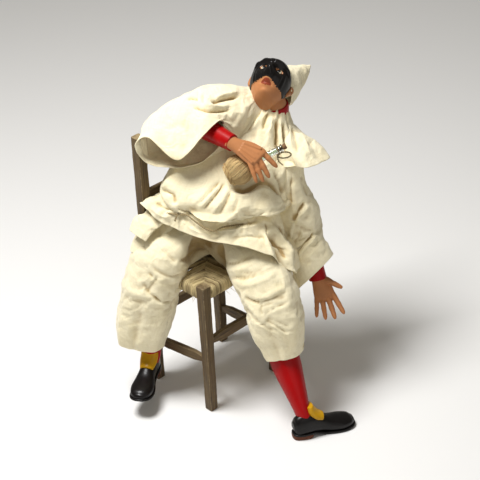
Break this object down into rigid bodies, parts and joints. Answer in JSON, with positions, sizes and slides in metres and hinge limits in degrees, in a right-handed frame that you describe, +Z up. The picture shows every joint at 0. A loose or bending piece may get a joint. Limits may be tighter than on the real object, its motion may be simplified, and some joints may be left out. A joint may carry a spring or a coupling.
{
  "type": "commedia dell arte figure",
  "caption": "Dressed servant figure in a half mask and loose white smock, sprawled on a small rush-seated chair with a straw-covered flask in one hand.",
  "frame": {"origin": "on the floor, under the middle of the whole outline", "axes": "+Z up; the figure looks along -Y; +X is to the figure's own left"},
  "size_m": [0.2216, 0.1876, 0.327],
  "materials": {
    "chair_wood": "aged, waxed",
    "rush": "twisted and woven",
    "cloth": "plain cotton weave",
    "felt": "soft felt",
    "flesh": "painted and varnished, black half mask",
    "hand": "painted, red sleeve end",
    "stocking": "painted: red stocking, black shoe, ochre tongue",
    "twine": "twisted twine",
    "straw": "plaited straw",
    "glass": "clear",
    "cork": "matte"
  },
  "bodies": {
    "root": {"chair_front_right_leg": "chair_wood", "chair_front_left_leg": "chair_wood", "chair_back_right_post": "chair_wood", "chair_back_left_post": "chair_wood", "rush_seat": "rush", "chair_front_stretcher": "chair_wood", "chair_back_stretcher": "chair_wood", "chair_right_stretcher": "chair_wood", "chair_left_stretcher": "chair_wood", "chair_upper_slat": "chair_wood", "chair_lower_slat": "chair_wood", "smock": "cloth", "trousers": "cloth", "head": "flesh", "hat": "felt", "right_arm": "hand", "left_arm": "hand", "right_leg": "stocking", "left_leg": "stocking", "belt_cord": "twine", "flask_glass": "glass", "flask_straw": "straw", "flask_cork": "cork", "flask_loop": "twine"}
  },
  "joints": []
}
